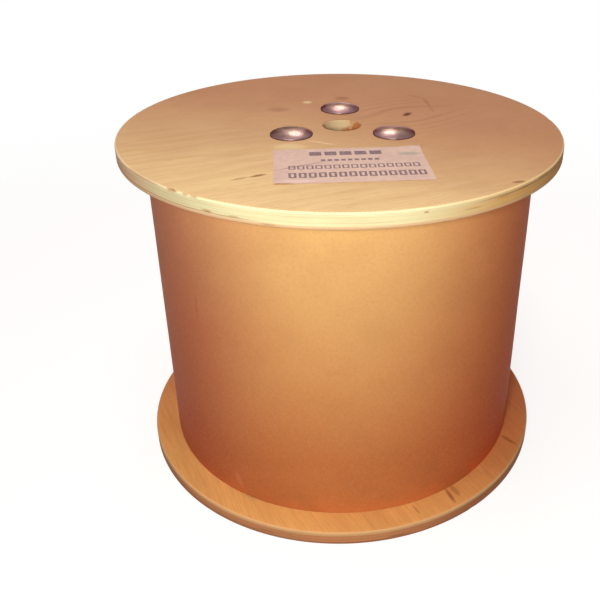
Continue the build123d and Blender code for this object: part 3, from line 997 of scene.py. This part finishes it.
shader.inputs["Specular Tint"].default_value = steel["grazing"]  # keeps the heads' far rims dark
for number, (spot, angle) in enumerate(zip(boltSpots, flange["boltAngles"]), start=1):
    handOver(copyTo(tieBolt, f"tieBolt{number}", spot, angle), f"tie_bolt_{number}", "zinc_steel", material)
    handOver(copyTo(ring, f"washer{number}", spot), f"washer_{number}", "zinc_steel", material)
    nutAngle = angle + nut["firstAngle"] + number * nut["turn"]
    handOver(copyTo(hexagon, f"nut{number}", spot, nutAngle), f"nut_{number}", "zinc_steel", material)
for pattern in (tieBolt, ring, hexagon):
    bpy.data.objects.remove(pattern)
print("steel finished")

# Node group: a row of printed boxes, solid or in outline, for the ruled label
printedRow, given, result = newGroup(
    "printedRow",
    [("Vector", "v"), ("Centre", "v"), ("Half Length", "f"), ("Half Height", "f"),
     ("Step", "f"), ("Gap", "f"), ("Line", "f")],
    [("Mask", "f")])
tree = printedRow
fromCentre = vectorCalc(tree, "SUBTRACT", given["Vector"], given["Centre"])
parts = put(tree, "SeparateXYZ", Vector=fromCentre).outputs
blur = 0.0002
alongRow = calc(tree, "SUBTRACT", given["Half Length"], calc(tree, "ABSOLUTE", parts["X"]))
overRow = calc(tree, "SUBTRACT", given["Half Height"], calc(tree, "ABSOLUTE", parts["Y"]))
inStep = calc(tree, "WRAP", calc(tree, "ADD", parts["X"], given["Half Length"]), given["Step"], 0)
halfStep = calc(tree, "MULTIPLY", given["Step"], 0.5)
fromMiddle = calc(tree, "ABSOLUTE", calc(tree, "SUBTRACT", inStep, halfStep))
fromMiddle = calc(tree, "ADD", fromMiddle, calc(tree, "MULTIPLY", given["Gap"], 0.5))
fromGap = calc(tree, "SUBTRACT", halfStep, fromMiddle)
inside = calc(tree, "MINIMUM", calc(tree, "MINIMUM", alongRow, overRow), fromGap)
box = spread(tree, inside, -blur, blur)
hollow = spread(tree, calc(tree, "SUBTRACT", inside, given["Line"]), -blur, blur)
tree.links.new(calc(tree, "SUBTRACT", box, hollow, clamp=True), result["Mask"])

# Label paper: pinkish, ruled with plain boxes and no words
stock = {
    "paper": colour(226, 190, 173), "shade": colour(198, 161, 153), "ink": colour(86, 42, 58),
    "stain": colour(152, 150, 132), "scratch": colour(132, 88, 92), "bright": colour(246, 214, 204),
}
# Rows of boxes: centre, half length, half height, step, gap, line (more than half the height is solid)
printedRows = [
    ((-0.0022, 0.0232), 0.0272, 0.0040, 0.0109, 0.0022, 0.0100),
    ((0.0000, 0.0092), 0.0216, 0.0019, 0.0048, 0.0016, 0.0100),
    ((0.0020, -0.0042), 0.0465, 0.0036, 0.0062, 0.0013, 0.0012),
    ((0.0028, -0.0193), 0.0475, 0.0046, 0.0068, 0.0014, 0.0017),
]
material, tree, shader, place = newMaterial("labelPaper")
onLabel = put(tree, "Mapping", {"vector_type": "TEXTURE"}, Vector=place, Location=(*label["place"], 0),
              Rotation=(0, 0, radians(label["turn"]))).outputs[0]
sheetPulp = useGroup(tree, pulp, Vector=onLabel, Coarse=260)
wear = useGroup(tree, handling, Vector=onLabel, Size=40)
tone = mixColour(tree, spread(tree, sheetPulp["Mottle"], 0.35, 0.7, 0, 0.5), stock["paper"], stock["shade"])
tone = mixColour(tree, calc(tree, "MULTIPLY", wear["Patches"], 0.3), tone, stock["shade"])
ink = None
for centre, halfLength, halfHeight, step, gap, lineWidth in printedRows:
    row = useGroup(tree, printedRow, Vector=onLabel, Centre=(*centre, 0), Half_Length=halfLength,
                   Half_Height=halfHeight, Step=step, Gap=gap, Line=lineWidth)["Mask"]
    ink = row if ink is None else calc(tree, "MAXIMUM", ink, row)
fade = spread(tree, noise(tree, onLabel, 700, 3, 0.6), 0.3, 0.6, 0.64, 0.96)
tone = mixColour(tree, calc(tree, "MULTIPLY", ink, fade), tone, stock["ink"])
paperMarks = [
    ((0.0435, 0.0185), (0.0105, 0.0038), 0, 0.65, 0.4, "stain"),
    ((-0.0345, -0.0005), (0.0260, 0.0013), 24, 0.60, 0.2, "scratch"),
    ((-0.0380, -0.0300), (0.0170, 0.0030), 3, 0.55, 0.3, "bright"),
]
relief = calc(tree, "MULTIPLY", sheetPulp["Height"], 0.4)
for centre, reach, turn, strength, ragged, which in paperMarks:
    mask = markAt(tree, onLabel, centre, reach, turn, strength, ragged)
    tone = mixColour(tree, mask, tone, stock[which])
    relief = calc(tree, "SUBTRACT", relief, calc(tree, "MULTIPLY", mask, 0.5))
finishMaterial(tree, shader, tone, 0.6, relief, 0.0003, 0.3)
shader.inputs["Specular IOR Level"].default_value = 0.3
handOver(paper, "label", "label_paper", material)

# Paperboard tube: grey-brown board wound in a spiral
tube = {
    "board": colour(172, 144, 114), "dark": colour(132, 104, 78), "seam": colour(96, 74, 54),
    "radius": 0.073, "strip": 0.12,
}
material, tree, shader, place = newMaterial("paperboardTube")
rolled = useGroup(tree, rollOut, Vector=place, Radius=tube["radius"])
board = useGroup(tree, pulp, Vector=rolled["Flat"], Coarse=240)
parts = put(tree, "SeparateXYZ", Vector=rolled["Flat"]).outputs
climb = -tube["strip"] / (2 * pi * tube["radius"])  # one full turn climbs one strip
winding = calc(tree, "MULTIPLY_ADD", parts["X"], climb, parts["Y"])
toSeam = calc(tree, "FRACT", calc(tree, "DIVIDE", winding, tube["strip"]))
seam = spread(tree, calc(tree, "ABSOLUTE", calc(tree, "SUBTRACT", toSeam, 0.5)), 0.012, 0.002)
tone = mixColour(tree, spread(tree, board["Mottle"], 0.35, 0.7, 0, 0.6), tube["board"], tube["dark"])
tone = mixColour(tree, calc(tree, "MULTIPLY", board["Fibres"], 0.25), tone, tube["dark"])
tone = mixColour(tree, calc(tree, "MULTIPLY", seam, 0.7), tone, tube["seam"])
finishMaterial(tree, shader, tone, 0.8, calc(tree, "SUBTRACT", board["Height"], seam), 0.0004, 0.4)
dressSolid("barrel", material)

# Cable jacket: matte black, its turns lying side by side, with painted shade in the grooves between them
jacket = {
    "black": colour(38, 38, 40), "worn": colour(66, 66, 68), "between": (0.002, 0.002, 0.002, 1),
    "turnPitch": 0.007,
}
material, tree, shader, place = newMaterial("cableJacket")
turns = calc(tree, "DIVIDE", axis(tree, place, "Z"), jacket["turnPitch"])
crowns = calc(tree, "ABSOLUTE", calc(tree, "SINE", calc(tree, "MULTIPLY", turns, pi)))
wear = useGroup(tree, handling, Vector=place, Size=60)
tone = mixColour(tree, calc(tree, "MULTIPLY", wear["Patches"], 0.6), jacket["black"], jacket["worn"])
# painted shade: near black in the grooves between the turns
tone = mixColour(tree, spread(tree, crowns, 0.25, 0.0), tone, jacket["between"])
finishMaterial(tree, shader, tone, spread(tree, wear["Patches"], 0, 1, 0.5, 0.62), crowns, 0.003, 0.8)
dressSolid("cable_winding", material)
print("board, paper and jacket finished")
